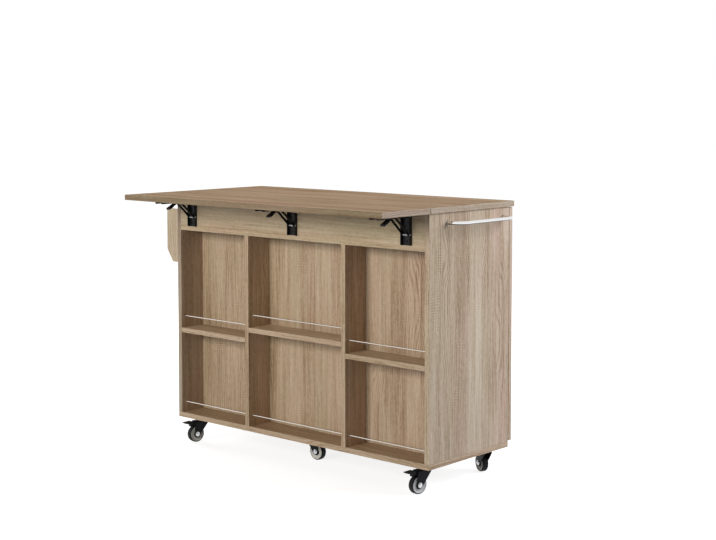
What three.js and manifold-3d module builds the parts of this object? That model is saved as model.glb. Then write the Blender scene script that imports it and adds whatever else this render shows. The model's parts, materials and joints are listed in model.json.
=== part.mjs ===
// Drop leaf kitchen island on five swivel casters.
//
// Millimetres, +Z up. While it is built, x = 0 is the middle of the carcass, y = 0 is the
// plane of the open cubbies' front edges, under the drop leaf, and z = 0 is the floor. The
// cubbies face -Y, the doors and drawers face +Y, the towel bar is on +X, the side rack on -X.
// The finished group is shifted so that its origin is the middle of its footprint.

import * as THREE from "three";
import { mergeVertices } from "three/addons/utils/BufferGeometryUtils.js";
import Module from "manifold-3d";

const wasm = await Module();
wasm.setup();

// ---------------------------------------------------------------- driving dimensions

const overallHeight = 920;
const boardThickness = 18;
const slip = 0.3; // gap round a rod or stem that sits in a hole
const turningSlip = 0.5; // gap round a pin that something turns on

const carcass = { width: 1183, depth: 424, floorClearance: 89 };
const top = { thickness: 19, overhangLeft: 14, overhangRight: 6.5, backEdge: 443 };
const leaf = { reach: 234, seam: 2 };
const apronHeight = 120;

const cubby = {
  depth: 104,
  backThickness: 12,
  shelfThickness: 17,
  sideShelfTop: 420.5,
  middleShelfTop: 457.5,
  leftDividerX: -230.5,
  rightDividerX: 227.5,
};
const rod = { radius: 2, setBack: 12, aboveShelf: 44, aboveFloor: 39.5, socket: 6 };

const front = { thickness: 16, standOff: 2, gap: 2, drawerGap: 2.5, bottom: 110, height: 788 };
const drawer = { count: 3, wall: 12, bottom: 6, runnerRoom: 13, back: 136, clearAbove: 70 };
const innerShelf = { top: 520, thickness: 16, frontEdge: 410 };
const knob = {
  length: 24,
  footRadius: 10,
  footThickness: 2,
  neckRadius: 6,
  neckStart: 5,
  neckEnd: 12,
  headRadius: 15,
  headStart: 15,
  rimStart: 18,
  rimEnd: 21,
  bevel: 3,
  edgeInset: 38,
};

const towelBar = { radius: 6, standOff: 50, corner: 38, height: 868, frontEnd: 92, backEnd: 388 };
const rack = {
  reach: 104,
  board: 15,
  frontY: 40,
  backY: 384,
  top: 851,
  bottom: 654,
  chamferTop: 700,
  chamferIn: 31,
  cornerRadius: 7,
  floorTop: 688,
  slatBottom: 716,
  slatTop: 762,
};

// Folding bracket: y and z of its pins, and the widths of the channels that nest in each other.
const bracket = {
  centresX: [-505, -0.5, 501.5],
  sheet: 1.5,
  pinRadius: 2.5,
  hingeY: -8,
  hingeZ: 892,
  footZ: 832,
  plateWidth: 38,
  plateReach: 12,
  plateBottom: 797,
  plateTop: 898,
  pinHead: 1,
  flangeCorner: 4,
  armWidth: 33,
  armDepth: 14,
  armEnd: -165,
  armRoot: -4,
  armRootCorner: 3,
  braceWidth: 25,
  braceStrip: 4,
  braceEndY: -71.5,
  braceEndZ: 889,
  braceStub: 2,
  leverPinRadius: 2,
  leverPivotY: -78,
  leverPivotZ: 891,
  leverLength: 47,
  leverDroop: 27,
  leverWidth: 18,
  leverSheet: 2,
  leverNeck: 6,
  leverEyeRadius: 3.6,
  lugHalf: 4,
  lugSheet: 2,
};
// The release lever's thumb lip, in y and z from the end of its flat part.
const leverLip = [[-3, -4], [-1, -5], [2, -1]];

const caster = {
  wheelRadius: 30,
  wheelHalfWidth: 10,
  hubRadius: 10,
  discStart: 12,
  discEnd: 22,
  discRecess: 3,
  rimRadius: 24,
  shoulderRadius: 27.5,
  treadRecess: 4,
  sides: 20,
  trail: 22,
  axleRadius: 3,
  axleEnd: 2,
  nutRadius: 7,
  nutThickness: 2.5,
  forkInside: 12,
  forkSheet: 2,
  cheekDepth: 6,
  legEndRadius: 11,
  crownZ: 76,
  crownFront: -24,
  crownBack: 30,
  bossRadius: 15,
  bossTop: 86,
  stemRadius: 5.5,
  stemLength: 12,
  pedalPinRadius: 2,
  pedalPivotX: 10,
  pedalPivotZ: 71,
  pedalEyeRadius: 4,
  pedalHalfWidth: 9,
};
// The brake pedal beyond its eye, in x and z: along the underside, round the tip and back.
const pedalOutline = [[26, 65], [40, 68], [58, 70], [72, 74], [73, 77], [44, 79], [33, 75]];
// Where each caster swivels, and which way its wheel trails from there, in degrees from +X.
const casterPlaces = [
  { name: "front_left", x: -522.5, y: 45, heading: -101.5, brake: true },
  { name: "front_right", x: 531.5, y: 45, heading: -101.5, brake: true },
  { name: "middle", x: -31.5, y: 130, heading: 0, brake: false },
  { name: "rear_left", x: -522.5, y: 376, heading: 160, brake: false },
  { name: "rear_right", x: 531.5, y: 376, heading: 154.5, brake: false },
];

// ---------------------------------------------------------------- derived levels and places

const halfWidth = carcass.width / 2;
const innerHalf = halfWidth - boardThickness;
const baseTop = carcass.floorClearance + boardThickness;
const topUnderside = overallHeight - top.thickness;
const apronBottom = topUnderside - apronHeight;
const cabinetFront = cubby.depth + cubby.backThickness;
const frontInside = carcass.depth + front.standOff;
const frontOutside = frontInside + front.thickness;
const columnWidth = (carcass.width - 2 * front.gap) / 3;
const partitionX = -halfWidth + columnWidth + front.gap / 2;
const frontMiddleZ = front.bottom + front.height / 2;

// ---------------------------------------------------------------- materials

function finish(color, roughness, metalness = 0) {
  return new THREE.MeshStandardMaterial({ color, roughness, metalness });
}

const oak = () => finish(0xb5a28c, 0.62);
const oakTop = () => finish(0xa8998a, 0.55);
const drawerBoard = () => finish(0xd8d2c6, 0.7);
const blackSteel = () => finish(0x131314, 0.32, 0.6);
const chrome = () => finish(0xd9dadc, 0.12, 1);
const paleSteel = () => finish(0xc4c6c8, 0.3, 1);
const casterFork = () => finish(0x17181a, 0.4, 0.3);
const casterTyre = () => finish(0x1b1b1c, 0.7);

// ---------------------------------------------------------------- solids

const DEGREE = Math.PI / 180;

// Basis matrices that lay a drawn outline in the YZ plane or in the XZ plane.
const outlineYZ = new THREE.Matrix4().makeBasis(
  new THREE.Vector3(0, 1, 0),
  new THREE.Vector3(0, 0, 1),
  new THREE.Vector3(1, 0, 0),
);
const outlineXZ = new THREE.Matrix4().makeBasis(
  new THREE.Vector3(1, 0, 0),
  new THREE.Vector3(0, 0, 1),
  new THREE.Vector3(0, -1, 0),
);

function box([x0, x1], [y0, y1], [z0, z1]) {
  const geometry = new THREE.BoxGeometry(x1 - x0, y1 - y0, z1 - z0);
  return geometry.translate((x0 + x1) / 2, (y0 + y1) / 2, (z0 + z1) / 2);
}

// An outline in y and z, as wide in x as given, centred on x.
function slabAcrossX(shape, x, width, curveSegments = 6) {
  const geometry = new THREE.ExtrudeGeometry(shape, { depth: width, bevelEnabled: false, curveSegments });
  return geometry.translate(0, 0, -width / 2).applyMatrix4(outlineYZ).translate(x, 0, 0);
}

// An outline in x and z, as wide in y as given, centred on y.
function slabAcrossY(shape, y, width, curveSegments = 6) {
  const geometry = new THREE.ExtrudeGeometry(shape, { depth: width, bevelEnabled: false, curveSegments });
  return geometry.translate(0, 0, -width / 2).applyMatrix4(outlineXZ).translate(0, y, 0);
}

function cylinderAlongX(radius, [x0, x1], y, z, sides = 12) {
  const geometry = new THREE.CylinderGeometry(radius, radius, x1 - x0, sides);
  return geometry.rotateZ(-Math.PI / 2).translate((x0 + x1) / 2, y, z);
}

function cylinderAlongY(radius, x, [y0, y1], z, sides = 12) {
  const geometry = new THREE.CylinderGeometry(radius, radius, y1 - y0, sides);
  return geometry.translate(x, (y0 + y1) / 2, z);
}

function cylinderAlongZ(radius, x, y, [z0, z1], sides = 16) {
  const geometry = new THREE.CylinderGeometry(radius, radius, z1 - z0, sides);
  return geometry.rotateX(Math.PI / 2).translate(x, y, (z0 + z1) / 2);
}

function polygon(points) {
  return new THREE.Shape(points.map(([u, v]) => new THREE.Vector2(u, v)));
}

function toManifold(geometry) {
  const bare = geometry.clone();
  bare.deleteAttribute("normal");
  bare.deleteAttribute("uv");
  const merged = mergeVertices(bare, 1e-4);
  const mesh = new wasm.Mesh({
    numProp: 3,
    vertProperties: Float32Array.from(merged.attributes.position.array),
    triVerts: Uint32Array.from(merged.index.array),
  });
  return new wasm.Manifold(mesh);
}

function toGeometry(manifold) {
  const mesh = manifold.getMesh();
  const geometry = new THREE.BufferGeometry();
  geometry.setAttribute("position", new THREE.BufferAttribute(mesh.vertProperties, 3));
  geometry.setIndex(new THREE.BufferAttribute(mesh.triVerts, 1));
  geometry.computeVertexNormals();
  return geometry;
}

// One solid from the bodies joined together, less the cutters.
function shaped(bodies, cutters = []) {
  const joined = bodies.map(toManifold).reduce((whole, next) => whole.add(next));
  return toGeometry(cutters.map(toManifold).reduce((whole, next) => whole.subtract(next), joined));
}

const island = new THREE.Group();

function piece(name, geometry, material, parent = island) {
  const mesh = new THREE.Mesh(geometry, material);
  mesh.name = name;
  parent.add(mesh);
  return mesh;
}

// ---------------------------------------------------------------- carcass

function addCarcass() {
  const stemHoles = casterPlaces.map(({ x, y }) =>
    cylinderAlongZ(
      caster.stemRadius + slip,
      x,
      y,
      [carcass.floorClearance - 1, carcass.floorClearance + caster.stemLength],
      12,
    ),
  );
  const baseBoard = box(
    [-halfWidth, halfWidth],
    [0, carcass.depth],
    [carcass.floorClearance, baseTop],
  );
  piece("base_board", shaped([baseBoard], stemHoles), oak());

  for (const [side, sign] of [["left", -1], ["right", 1]]) {
    const faces = [sign * innerHalf, sign * halfWidth].sort((a, b) => a - b);
    const panel = box(faces, [0, carcass.depth], [baseTop, topUnderside]);
    const sockets = rodLines()
      .filter((line) => line[side === "left" ? "from" : "to"] === sign * innerHalf)
      .map((line) => rodHole(line.z, [sign * innerHalf - rod.socket, sign * innerHalf + rod.socket]));
    piece(`${side}_side_panel`, shaped([panel], sockets), oak());
  }

  const topEnds = [-halfWidth - top.overhangLeft, halfWidth + top.overhangRight];
  piece("main_top", box(topEnds, [0, top.backEdge], [topUnderside, overallHeight]), oakTop());
  piece(
    "apron_rail",
    box([-innerHalf, innerHalf], [0, boardThickness], [apronBottom, topUnderside]),
    oak(),
  );
  piece(
    "drop_leaf",
    box(topEnds, [-leaf.reach, -leaf.seam], [topUnderside, overallHeight]),
    oakTop(),
  );
}

// ---------------------------------------------------------------- open cubbies and their rods

// The bays between the side panels and the two dividers, from left to right.
function bays() {
  const half = boardThickness / 2;
  const { leftDividerX, rightDividerX, sideShelfTop, middleShelfTop } = cubby;
  return [
    { name: "left", from: -innerHalf, to: leftDividerX - half, shelfTop: sideShelfTop },
    { name: "middle", from: leftDividerX + half, to: rightDividerX - half, shelfTop: middleShelfTop },
    { name: "right", from: rightDividerX + half, to: innerHalf, shelfTop: sideShelfTop },
  ];
}

// Three upper rods, one over each shelf, and a lower rod that runs through both dividers.
function rodLines() {
  const upper = bays().map(({ name, from, to, shelfTop }) => (
    { name: `upper_rod_${name}`, from, to, z: shelfTop + rod.aboveShelf }
  ));
  const lower = { name: "lower_rod", from: -innerHalf, to: innerHalf, z: baseTop + rod.aboveFloor };
  return [...upper, lower];
}

function rodHole(z, ends) {
  return cylinderAlongX(rod.radius + slip, ends, rod.setBack, z, 10);
}

function addCubbies() {
  piece(
    "cubby_back_panel",
    box([-innerHalf, innerHalf], [cubby.depth, cabinetFront], [baseTop, topUnderside]),
    oak(),
  );

  // The dividers stand on the base board and are notched to pass behind the apron rail.
  const dividerOutline = polygon([
    [0, baseTop],
    [cubby.depth, baseTop],
    [cubby.depth, topUnderside],
    [boardThickness, topUnderside],
    [boardThickness, apronBottom],
    [0, apronBottom],
  ]);
  for (const [side, x] of [["left", cubby.leftDividerX], ["right", cubby.rightDividerX]]) {
    const faces = [x - boardThickness / 2, x + boardThickness / 2];
    const sockets = rodLines()
      .filter(({ from, to }) => faces.includes(from) || faces.includes(to))
      .map(({ from, to, z }) => {
        const face = faces.includes(from) ? from : to;
        return rodHole(z, [face - rod.socket, face + rod.socket]);
      });
    const through = rodHole(baseTop + rod.aboveFloor, [faces[0] - 1, faces[1] + 1]);
    const board = slabAcrossX(dividerOutline, x, boardThickness);
    piece(`cubby_divider_${side}`, shaped([board], [...sockets, through]), oak());
  }

  for (const { name, from, to, shelfTop } of bays()) {
    const levels = [shelfTop - cubby.shelfThickness, shelfTop];
    piece(`cubby_shelf_${name}`, box([from, to], [0, cubby.depth], levels), oak());
  }

  const reachIn = rod.socket - slip;
  for (const { name, from, to, z } of rodLines()) {
    const wire = cylinderAlongX(rod.radius, [from - reachIn, to + reachIn], rod.setBack, z, 10);
    piece(name, wire, paleSteel());
  }
}

// ---------------------------------------------------------------- cupboard, doors and drawers

function knobGeometry() {
  const profile = [
    [0, 0],
    [knob.footRadius, 0],
    [knob.footRadius, knob.footThickness],
    [knob.neckRadius, knob.neckStart],
    [knob.neckRadius, knob.neckEnd],
    [knob.headRadius - knob.bevel, knob.headStart],
    [knob.headRadius, knob.rimStart],
    [knob.headRadius, knob.rimEnd],
    [knob.headRadius - knob.bevel, knob.length],
    [0, knob.length],
  ];
  return new THREE.LatheGeometry(profile.map(([radius, along]) => new THREE.Vector2(radius, along)), 16);
}

function addKnob(name, x, z) {
  const mesh = piece(name, knobGeometry(), paleSteel());
  mesh.position.set(x, frontOutside, z);
}

function addCupboard() {
  const half = boardThickness / 2;
  piece(
    "cabinet_partition",
    box([partitionX - half, partitionX + half], [cabinetFront, carcass.depth], [baseTop, topUnderside]),
    oak(),
  );
  piece(
    "cupboard_shelf",
    box(
      [partitionX + half, innerHalf],
      [cabinetFront, innerShelf.frontEdge],
      [innerShelf.top - innerShelf.thickness, innerShelf.top],
    ),
    oak(),
  );

  const doorZ = [front.bottom, front.bottom + front.height];
  const middleDoorLeft = -halfWidth + columnWidth + front.gap;
  const rightDoorLeft = middleDoorLeft + columnWidth + front.gap;
  const doors = [
    { name: "left", left: middleDoorLeft, knobX: rightDoorLeft - front.gap - knob.edgeInset },
    { name: "right", left: rightDoorLeft, knobX: rightDoorLeft + knob.edgeInset },
  ];
  for (const { name, left, knobX } of doors) {
    const panel = box([left, left + columnWidth], [frontInside, frontOutside], doorZ);
    piece(`${name}_door`, panel, oak());
    addKnob(`${name}_door_knob`, knobX, frontMiddleZ);
  }
}

function addDrawers() {
  const pitch = (front.height + front.drawerGap) / drawer.count;
  const frontHeight = pitch - front.drawerGap;
  const columnLeft = -halfWidth;
  const boxX = [
    -innerHalf + drawer.runnerRoom,
    partitionX - boardThickness / 2 - drawer.runnerRoom,
  ];
  for (let row = 0; row < drawer.count; row += 1) {
    const name = ["bottom", "middle", "top"][row];
    const bottom = front.bottom + row * pitch;
    const panel = box(
      [columnLeft, columnLeft + columnWidth],
      [frontInside, frontOutside],
      [bottom, bottom + frontHeight],
    );
    piece(`${name}_drawer_front`, panel, oak());

    const boxZ = [bottom + drawer.wall, bottom + frontHeight - drawer.clearAbove];
    const outer = box(boxX, [drawer.back, frontInside], boxZ);
    const inner = box(
      [boxX[0] + drawer.wall, boxX[1] - drawer.wall],
      [drawer.back + drawer.wall, frontInside - drawer.wall],
      [boxZ[0] + drawer.bottom, boxZ[1] + drawer.wall],
    );
    piece(`${name}_drawer_box`, shaped([outer], [inner]), drawerBoard());
    addKnob(`${name}_drawer_knob`, columnLeft + columnWidth / 2, bottom + frontHeight / 2);
  }
}

// ---------------------------------------------------------------- towel bar and side rack

// A round bar bent to a D: out from the side panel, along it, and back.
function addTowelBar() {
  const wall = halfWidth + slip;
  const out = halfWidth + towelBar.standOff;
  const { corner, frontEnd, backEnd } = towelBar;
  const bend = new THREE.Path();
  bend.moveTo(wall, frontEnd);
  bend.lineTo(out - corner, frontEnd);
  bend.absarc(out - corner, frontEnd + corner, corner, -Math.PI / 2, 0);
  bend.lineTo(out, backEnd - corner);
  bend.absarc(out - corner, backEnd - corner, corner, 0, Math.PI / 2);
  bend.lineTo(wall, backEnd);
  const route = bend.getSpacedPoints(60).map(({ x, y }) => new THREE.Vector3(x, y, towelBar.height));
  const section = new THREE.Shape().absarc(0, 0, towelBar.radius, 0, 2 * Math.PI);
  const geometry = new THREE.ExtrudeGeometry(section, {
    steps: 34,
    curveSegments: 6,
    extrudePath: new THREE.CatmullRomCurve3(route),
  });
  piece("towel_bar", geometry, chrome());
}

// Joins the corners of an outline with a small arc at every corner that has a radius.
function roundedOutline(corners) {
  const shape = new THREE.Shape();
  corners.forEach(({ u, v, radius }, i) => {
    const here = new THREE.Vector2(u, v);
    const before = corners[(i + corners.length - 1) % corners.length];
    const after = corners[(i + 1) % corners.length];
    const towards = ({ u: otherU, v: otherV }) => (
      new THREE.Vector2(otherU, otherV).sub(here).setLength(radius).add(here)
    );
    const start = radius > 0 ? towards(before) : here;
    const end = radius > 0 ? towards(after) : here;
    if (i === 0) shape.moveTo(start.x, start.y);
    else shape.lineTo(start.x, start.y);
    if (radius > 0) shape.quadraticCurveTo(u, v, end.x, end.y);
  });
  return shape;
}

function addSideRack() {
  const inside = -halfWidth;
  const outside = -halfWidth - rack.reach;
  const radius = rack.cornerRadius;
  const outline = roundedOutline([
    { u: inside, v: rack.top, radius: 0 },
    { u: outside, v: rack.top, radius },
    { u: outside, v: rack.chamferTop, radius },
    { u: outside + rack.chamferIn, v: rack.bottom, radius },
    { u: inside, v: rack.bottom, radius: 0 },
  ]);
  const frontBoardY = rack.frontY + rack.board / 2;
  const backBoardY = rack.backY - rack.board / 2;
  piece("rack_front_end", slabAcrossY(outline, frontBoardY, rack.board, 4), oak());
  piece("rack_back_end", slabAcrossY(outline, backBoardY, rack.board, 4), oak());

  const between = [rack.frontY + rack.board, rack.backY - rack.board];
  piece(
    "rack_floor",
    box([outside + rack.board, inside], between, [rack.floorTop - rack.board, rack.floorTop]),
    oak(),
  );
  piece(
    "rack_slat",
    box([outside + 2, outside + rack.board], between, [rack.slatBottom, rack.slatTop]),
    oak(),
  );
}

// ---------------------------------------------------------------- folding brackets

// The wall plate is a channel open to -Y; the hinge pin and the brace's foot pin are riveted in.
function wallPlate(x) {
  const b = bracket;
  const radius = b.flangeCorner;
  const flangeOutline = roundedOutline([
    { u: 0, v: b.plateBottom, radius: 0 },
    { u: -b.plateReach, v: b.plateBottom, radius },
    { u: -b.plateReach, v: b.plateTop, radius },
    { u: 0, v: b.plateTop, radius: 0 },
  ]);
  const half = b.plateWidth / 2;
  const web = box([x - half, x + half], [-b.sheet, 0], [b.plateBottom, b.plateTop]);
  const flanges = [-1, 1].map((side) =>
    slabAcrossX(flangeOutline, x + side * (half - b.sheet / 2), b.sheet, 3),
  );
  const pinReach = half + b.pinHead;
  const pins = [b.hingeZ, b.footZ].map((z) =>
    cylinderAlongX(b.pinRadius, [x - pinReach, x + pinReach], b.hingeY, z),
  );
  return shaped([web, ...flanges, ...pins]);
}

// The arm is a channel open downwards, screwed under the leaf. Two lugs inside it carry a pin
// for the release lever. Its flanges are notched where they close over the foot pin.
function leafArm(x) {
  const b = bracket;
  const half = b.armWidth / 2;
  const underLeaf = topUnderside;
  const armBottom = underLeaf - b.armDepth;
  const flangeOutline = roundedOutline([
    { u: b.armRoot, v: underLeaf, radius: 0 },
    { u: b.armEnd, v: underLeaf, radius: 0 },
    { u: b.armEnd, v: armBottom, radius: b.flangeCorner },
    { u: b.armRoot, v: armBottom, radius: b.armRootCorner },
  ]);
  const web = box([x - half, x + half], [b.armEnd, b.armRoot], [underLeaf - b.sheet, underLeaf]);
  const flanges = [-1, 1].map((side) =>
    slabAcrossX(flangeOutline, x + side * (half - b.sheet / 2), b.sheet, 3),
  );
  const lugReach = b.leverWidth / 2;
  const lugX = lugReach - b.lugSheet / 2;
  const lugs = [-1, 1].map((side) => box(
    [x + side * lugX - b.lugSheet / 2, x + side * lugX + b.lugSheet / 2],
    [b.leverPivotY - b.lugHalf, b.leverPivotY + b.lugHalf],
    [b.leverPivotZ - b.lugHalf, underLeaf - b.sheet / 2],
  ));
  const leverPin = cylinderAlongX(
    b.leverPinRadius,
    [x - lugReach, x + lugReach],
    b.leverPivotY,
    b.leverPivotZ,
  );
  const across = [x - half - 1, x + half + 1];
  const pinHole = cylinderAlongX(b.pinRadius + turningSlip, across, b.hingeY, b.hingeZ);
  const footPinY = b.hingeY - (b.hingeZ - b.footZ);
  const notchHalf = b.pinRadius + 2 * turningSlip;
  const notch = box(
    across,
    [footPinY - notchHalf, footPinY + notchHalf],
    [armBottom - 1, b.hingeZ + notchHalf],
  );
  return shaped([web, ...flanges, ...lugs, leverPin], [pinHole, notch]);
}

// The brace is two flat strips on a sleeve round the foot pin, with a stub pin at each tip.
function brace(x) {
  const b = bracket;
  const half = b.braceWidth / 2;
  const along = new THREE.Vector2(b.braceEndY - b.hingeY, b.braceEndZ - b.footZ);
  const lean = along.angle();
  const strip = new THREE.Shape();
  strip.absarc(b.hingeY, b.footZ, b.braceStrip, lean + Math.PI / 2, lean + 1.5 * Math.PI);
  strip.absarc(b.braceEndY, b.braceEndZ, b.braceStrip, lean - Math.PI / 2, lean + Math.PI / 2);
  const strips = [-1, 1].map((side) =>
    slabAcrossX(strip, x + side * (half - b.sheet / 2), b.sheet, 6),
  );
  const sleeve = cylinderAlongX(b.braceStrip, [x - half, x + half], b.hingeY, b.footZ);
  const stubs = [-1, 1].map((side) => {
    const ends = [x + side * (half - b.sheet), x + side * (half + b.braceStub)].sort((p, q) => p - q);
    return cylinderAlongX(b.leverPinRadius, ends, b.braceEndY, b.braceEndZ, 8);
  });
  const across = [x - half - 1, x + half + 1];
  const bore = cylinderAlongX(b.pinRadius + turningSlip, across, b.hingeY, b.footZ);
  return shaped([...strips, sleeve, ...stubs], [bore]);
}

// The release lever hangs from its pin and ends in a turned-down thumb lip.
function releaseLever(x) {
  const b = bracket;
  const sheetHalf = b.leverSheet / 2;
  const tab = polygon([
    [-b.leverNeck, sheetHalf],
    [-b.leverLength, sheetHalf],
    ...leverLip.map(([y, z]) => [y - b.leverLength, z]),
    [-b.leverNeck, -sheetHalf],
  ]);
  const wide = slabAcrossX(tab, 0, b.leverWidth);
  const neckHalf = b.leverWidth / 2 - b.lugSheet - slip;
  const across = [-neckHalf, neckHalf];
  const neck = box(across, [-b.leverNeck - b.leverSheet, 0], [-sheetHalf, sheetHalf]);
  const eye = cylinderAlongX(b.leverEyeRadius, across, 0, 0);
  const bore = cylinderAlongX(b.leverPinRadius + turningSlip, [-b.leverWidth, b.leverWidth], 0, 0);
  const geometry = shaped([wide, neck, eye], [bore]);
  geometry.rotateX(b.leverDroop * DEGREE);
  return geometry.translate(x, b.leverPivotY, b.leverPivotZ);
}

function addBrackets() {
  ["left", "middle", "right"].forEach((side, i) => {
    const x = bracket.centresX[i];
    piece(`bracket_plate_${side}`, wallPlate(x), blackSteel());
    piece(`bracket_arm_${side}`, leafArm(x), blackSteel());
    piece(`bracket_brace_${side}`, brace(x), blackSteel());
    piece(`release_lever_${side}`, releaseLever(x), blackSteel());
  });
}

// ---------------------------------------------------------------- casters

// A caster is drawn with its swivel on the Z axis, its wheel trailing to +X and its axle along Y.

function wheelGeometry() {
  const c = caster;
  const half = c.wheelHalfWidth;
  const cornerStretch = 1 / Math.cos(Math.PI / c.sides);
  const bore = c.axleRadius + turningSlip;
  const outerFace = [
    [bore, half],
    [c.hubRadius, half],
    [c.discStart, half - c.discRecess],
    [c.discEnd, half - c.discRecess],
    [c.rimRadius, half - 1],
    [c.shoulderRadius, half - 1],
    [c.wheelRadius, half - c.treadRecess],
  ];
  const innerFace = outerFace.map(([radius, y]) => [radius, -y]);
  const loop = [...innerFace, ...outerFace.reverse(), innerFace[0]];
  const profile = loop.map(([radius, y]) => new THREE.Vector2(radius * cornerStretch, y));
  return new THREE.LatheGeometry(profile, c.sides, Math.PI / c.sides);
}

function forkGeometry(hasBrake) {
  const c = caster;
  const outside = c.forkInside + c.forkSheet;
  const leg = new THREE.Shape();
  leg.moveTo(c.crownFront, c.crownZ + c.forkSheet);
  leg.lineTo(c.crownFront, c.crownZ - c.cheekDepth);
  leg.absarc(c.trail, c.wheelRadius, c.legEndRadius, -145 * DEGREE, 5 * DEGREE);
  leg.lineTo(c.crownBack, c.crownZ - c.cheekDepth);
  leg.lineTo(c.crownBack, c.crownZ + c.forkSheet);
  const legs = [-1, 1].map((side) =>
    slabAcrossY(leg, side * (c.forkInside + c.forkSheet / 2), c.forkSheet, 8),
  );
  const crown = box([c.crownFront, c.crownBack], [-outside, outside], [c.crownZ, c.crownZ + c.forkSheet]);
  const boss = cylinderAlongZ(c.bossRadius, 0, 0, [c.crownZ + c.forkSheet - 1, c.bossTop]);
  const stemTop = c.bossTop + c.stemLength;
  const stem = cylinderAlongZ(c.stemRadius, 0, 0, [c.bossTop - 1, stemTop], 12);
  const axleReach = outside + c.axleEnd;
  const axle = cylinderAlongY(c.axleRadius, c.trail, [-axleReach, axleReach], c.wheelRadius);
  const nuts = [-1, 1].map((side) => {
    const ends = [side * (outside - 1), side * (outside + c.nutThickness)].sort((p, q) => p - q);
    return cylinderAlongY(c.nutRadius, c.trail, ends, c.wheelRadius);
  });
  const pedalPin = hasBrake
    ? [cylinderAlongY(c.pedalPinRadius, c.pedalPivotX, [-outside, outside], c.pedalPivotZ, 8)]
    : [];
  return shaped([...legs, crown, boss, stem, axle, ...nuts, ...pedalPin]);
}

// The brake pedal is a stamped lever whose underside is pressed down towards the tyre.
function pedalGeometry() {
  const c = caster;
  const outline = new THREE.Shape();
  outline.absarc(c.pedalPivotX, c.pedalPivotZ, c.pedalEyeRadius, Math.PI / 2, 1.5 * Math.PI);
  pedalOutline.forEach(([x, z]) => outline.lineTo(x, z));
  const blade = slabAcrossY(outline, 0, 2 * c.pedalHalfWidth, 5);
  const across = [-c.forkInside, c.forkInside];
  const bore = cylinderAlongY(c.pedalPinRadius + turningSlip, c.pedalPivotX, across, c.pedalPivotZ, 8);
  return shaped([blade], [bore]);
}

function addCasters() {
  for (const { name, x, y, heading, brake } of casterPlaces) {
    const unit = new THREE.Group();
    unit.position.set(x, y, 0);
    unit.rotation.z = heading * DEGREE;
    island.add(unit);
    piece(`caster_fork_${name}`, forkGeometry(brake), casterFork(), unit);
    const wheel = piece(`caster_wheel_${name}`, wheelGeometry(), casterTyre(), unit);
    wheel.position.set(caster.trail, 0, caster.wheelRadius);
    if (brake) piece(`brake_pedal_${name}`, pedalGeometry(), casterFork(), unit);
  }
}

// ---------------------------------------------------------------- the island

addCarcass();
addCubbies();
addCupboard();
addDrawers();
addTowelBar();
addSideRack();
addBrackets();
addCasters();

// The origin goes to the middle of the footprint, from rack to towel bar and leaf to knobs.
const reachRight = halfWidth + towelBar.standOff + towelBar.radius;
const reachLeft = -halfWidth - rack.reach;
island.position.set(
  -(reachRight + reachLeft) / 2,
  -(frontOutside + knob.length - leaf.reach) / 2,
  0,
);

export default island;
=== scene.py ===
"""Looks of a drop leaf kitchen island: sawn oak laminate, black folding brackets, bright rods and bar.

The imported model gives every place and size. Boards, brackets and brake pedals keep their solids and
get worn edges and a finish; round and pressed pieces are new surfaces, worked out with numpy.
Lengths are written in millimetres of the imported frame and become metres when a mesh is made.
"""

import json
import math

import bpy
import numpy as np
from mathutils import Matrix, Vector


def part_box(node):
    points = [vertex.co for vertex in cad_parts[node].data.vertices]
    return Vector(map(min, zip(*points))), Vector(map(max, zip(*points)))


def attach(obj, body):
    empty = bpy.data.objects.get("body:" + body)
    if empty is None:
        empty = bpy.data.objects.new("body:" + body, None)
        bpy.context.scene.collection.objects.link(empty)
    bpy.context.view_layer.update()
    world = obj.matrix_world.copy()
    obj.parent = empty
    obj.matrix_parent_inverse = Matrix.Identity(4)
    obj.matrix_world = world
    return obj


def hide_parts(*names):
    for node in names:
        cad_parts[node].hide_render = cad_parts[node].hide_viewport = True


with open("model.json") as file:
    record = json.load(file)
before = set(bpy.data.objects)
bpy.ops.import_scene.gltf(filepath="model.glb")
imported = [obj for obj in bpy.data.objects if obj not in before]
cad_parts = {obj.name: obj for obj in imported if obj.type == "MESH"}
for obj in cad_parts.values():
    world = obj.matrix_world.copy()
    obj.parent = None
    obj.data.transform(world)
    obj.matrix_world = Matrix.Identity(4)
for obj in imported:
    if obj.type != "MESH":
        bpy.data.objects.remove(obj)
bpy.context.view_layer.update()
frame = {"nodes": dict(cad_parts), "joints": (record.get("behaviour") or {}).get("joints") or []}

MM = 0.001
TAU = 2 * math.pi

RIGHT = (1, 0, 0)
FORWARD = (0, -1, 0)
BACKWARD = (0, 1, 0)
UP = (0, 0, 1)
DOWN = (0, 0, -1)


# -------- places taken from the frame

def box_mm(node):
    """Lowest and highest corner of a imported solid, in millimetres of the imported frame."""
    low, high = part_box(node)
    return np.array(low) / MM, np.array(high) / MM


def middle_mm(node):
    low, high = box_mm(node)
    return (low + high) / 2


JOINTS = {joint["name"]: joint for joint in frame["joints"]}


def joint_point(name):
    return np.array(JOINTS[name]["pos_m"]) / MM


SIDES = ("left", "middle", "right")
CASTERS = ("front_left", "front_right", "middle", "rear_left", "rear_right")
BRAKED_CASTERS = ("front_left", "front_right")
DRAWERS = ("bottom", "middle", "top")

RIGHT_PANEL_LOW, RIGHT_PANEL_HIGH = box_mm("right_side_panel")
BASE_UNDERSIDE = box_mm("base_board")[0][2]


# -------- camera, light and floor

CAMERA_PLACE = (3.4260, -3.6067, 1.2651)
CAMERA_PITCH = 3.6009
CAMERA_YAW = 41.6868
CAMERA_SENSOR = 36
CAMERA_LENS = 72.474
CAMERA_SHIFT = -0.1149


def new_object(name, data):
    """An object in the scene, for a camera, a lamp or a mesh."""
    item = bpy.data.objects.new(name, data)
    bpy.context.scene.collection.objects.link(item)
    return item


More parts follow.
